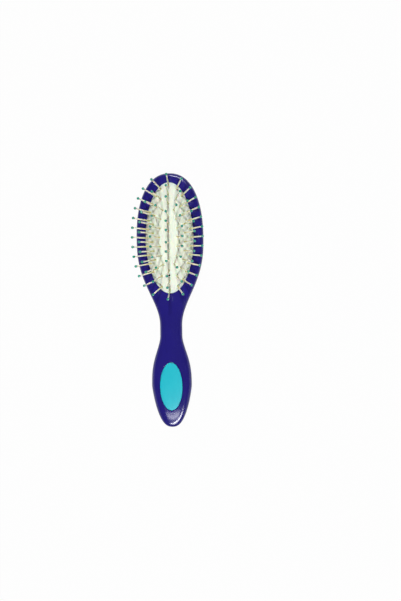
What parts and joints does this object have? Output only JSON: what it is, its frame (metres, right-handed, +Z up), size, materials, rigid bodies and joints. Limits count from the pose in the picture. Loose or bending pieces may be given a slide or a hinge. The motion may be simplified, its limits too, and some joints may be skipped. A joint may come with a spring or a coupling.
{
  "type": "detangling brush",
  "caption": "Oval cushion hairbrush with a slim waisted handle: straight pins with bead tips stand in rings on a domed rubber air cushion.",
  "frame": {"origin": "under the middle of the brush's bounding box, on the surface that it lies on", "axes": "+Z up, out of the pins; +Y along the brush towards the head; +X to the right seen from above"},
  "size_m": [0.0614, 0.215, 0.042],
  "materials": {
    "body_plastic": "glossy moulded indigo",
    "grip_inlay": "satin teal soft plastic",
    "cushion_rubber": "satin off-white rubber",
    "pin_nylon": "satin cream nylon",
    "bead": "glossy green-teal"
  },
  "bodies": {
    "root": {"front_shell": "body_plastic", "back_shell": "body_plastic", "grip_inlay": "grip_inlay", "cushion": "cushion_rubber"},
    "centre_row": {"centre_row_pins": "pin_nylon", "centre_row_beads": "bead"},
    "inner_ends": {"inner_ends_pins": "pin_nylon", "inner_ends_beads": "bead"},
    "middle_ends": {"middle_ends_pins": "pin_nylon", "middle_ends_beads": "bead"},
    "outer_ends": {"outer_ends_pins": "pin_nylon", "outer_ends_beads": "bead"},
    "inner_left": {"inner_left_pins": "pin_nylon", "inner_left_beads": "bead"},
    "inner_right": {"inner_right_pins": "pin_nylon", "inner_right_beads": "bead"},
    "middle_left_head": {"middle_left_head_pins": "pin_nylon", "middle_left_head_beads": "bead"},
    "middle_left_neck": {"middle_left_neck_pins": "pin_nylon", "middle_left_neck_beads": "bead"},
    "middle_right_head": {"middle_right_head_pins": "pin_nylon", "middle_right_head_beads": "bead"},
    "middle_right_neck": {"middle_right_neck_pins": "pin_nylon", "middle_right_neck_beads": "bead"},
    "outer_left_head": {"outer_left_head_pins": "pin_nylon", "outer_left_head_beads": "bead"},
    "outer_left_mid": {"outer_left_mid_pins": "pin_nylon", "outer_left_mid_beads": "bead"},
    "outer_left_neck": {"outer_left_neck_pins": "pin_nylon", "outer_left_neck_beads": "bead"},
    "outer_right_head": {"outer_right_head_pins": "pin_nylon", "outer_right_head_beads": "bead"},
    "outer_right_mid": {"outer_right_mid_pins": "pin_nylon", "outer_right_mid_beads": "bead"},
    "outer_right_neck": {"outer_right_neck_pins": "pin_nylon", "outer_right_neck_beads": "bead"}
  },
  "joints": [
    {"name": "centre_press", "type": "slide", "parent": "root", "child": "centre_row", "axis": [0, 0, -1], "range_m": [0, 0.004], "stiffness_N_per_m": 2500, "deforming": ["cushion"]},
    {"name": "inner_press", "type": "slide", "parent": "root", "child": "inner_ends", "axis": [0, 0, -1], "range_m": [0, 0.00322]},
    {"name": "middle_press", "type": "slide", "parent": "root", "child": "middle_ends", "axis": [0, 0, -1], "range_m": [0, 0.00214]},
    {"name": "outer_press", "type": "slide", "parent": "root", "child": "outer_ends", "axis": [0, 0, -1], "range_m": [0, 0.0009]},
    {"name": "inner_left_tilt", "type": "hinge", "parent": "inner_ends", "child": "inner_left", "pos_m": [-0.00582, 0.0525, 0.0186], "axis": [0, -1, 0], "range_deg": [-5, 5], "stiffness_Nm_per_rad": 0.15},
    {"name": "inner_right_tilt", "type": "hinge", "parent": "inner_ends", "child": "inner_right", "pos_m": [0.00582, 0.0525, 0.0186], "axis": [0, 1, 0], "range_deg": [-5, 5], "stiffness_Nm_per_rad": 0.15},
    {"name": "middle_left_head_tilt", "type": "hinge", "parent": "middle_ends", "child": "middle_left_head", "pos_m": [-0.01008, 0.07063, 0.01608], "axis": [-0.2795, -0.9602, 0], "range_deg": [-5, 5], "stiffness_Nm_per_rad": 0.15},
    {"name": "middle_left_neck_tilt", "type": "hinge", "parent": "middle_ends", "child": "middle_left_neck", "pos_m": [-0.01008, 0.03437, 0.01608], "axis": [0.2795, -0.9602, 0], "range_deg": [-5, 5], "stiffness_Nm_per_rad": 0.15},
    {"name": "middle_right_head_tilt", "type": "hinge", "parent": "middle_ends", "child": "middle_right_head", "pos_m": [0.01008, 0.07063, 0.01608], "axis": [-0.2795, 0.9602, 0], "range_deg": [-5, 5], "stiffness_Nm_per_rad": 0.15},
    {"name": "middle_right_neck_tilt", "type": "hinge", "parent": "middle_ends", "child": "middle_right_neck", "pos_m": [0.01008, 0.03437, 0.01608], "axis": [0.2795, 0.9602, 0], "range_deg": [-5, 5], "stiffness_Nm_per_rad": 0.15},
    {"name": "outer_left_head_tilt", "type": "hinge", "parent": "outer_ends", "child": "outer_left_head", "pos_m": [-0.01088, 0.08372, 0.01307], "axis": [-0.458, -0.8889, 0], "range_deg": [-5, 5], "stiffness_Nm_per_rad": 0.15},
    {"name": "outer_left_mid_tilt", "type": "hinge", "parent": "outer_ends", "child": "outer_left_mid", "pos_m": [-0.01635, 0.0525, 0.0135], "axis": [0, -1, 0], "range_deg": [-5, 5], "stiffness_Nm_per_rad": 0.15},
    {"name": "outer_left_neck_tilt", "type": "hinge", "parent": "outer_ends", "child": "outer_left_neck", "pos_m": [-0.01088, 0.02128, 0.01307], "axis": [0.458, -0.8889, 0], "range_deg": [-5, 5], "stiffness_Nm_per_rad": 0.15},
    {"name": "outer_right_head_tilt", "type": "hinge", "parent": "outer_ends", "child": "outer_right_head", "pos_m": [0.01088, 0.08372, 0.01307], "axis": [-0.458, 0.8889, 0], "range_deg": [-5, 5], "stiffness_Nm_per_rad": 0.15},
    {"name": "outer_right_mid_tilt", "type": "hinge", "parent": "outer_ends", "child": "outer_right_mid", "pos_m": [0.01635, 0.0525, 0.0135], "axis": [0, 1, 0], "range_deg": [-5, 5], "stiffness_Nm_per_rad": 0.15},
    {"name": "outer_right_neck_tilt", "type": "hinge", "parent": "outer_ends", "child": "outer_right_neck", "pos_m": [0.01088, 0.02128, 0.01307], "axis": [0.458, 0.8889, 0], "range_deg": [-5, 5], "stiffness_Nm_per_rad": 0.15}
  ],
  "couplings": [
    {"joint": "inner_press", "follows": "centre_press", "ratio": 0.8},
    {"joint": "middle_press", "follows": "centre_press", "ratio": 0.53},
    {"joint": "outer_press", "follows": "centre_press", "ratio": 0.22}
  ]
}
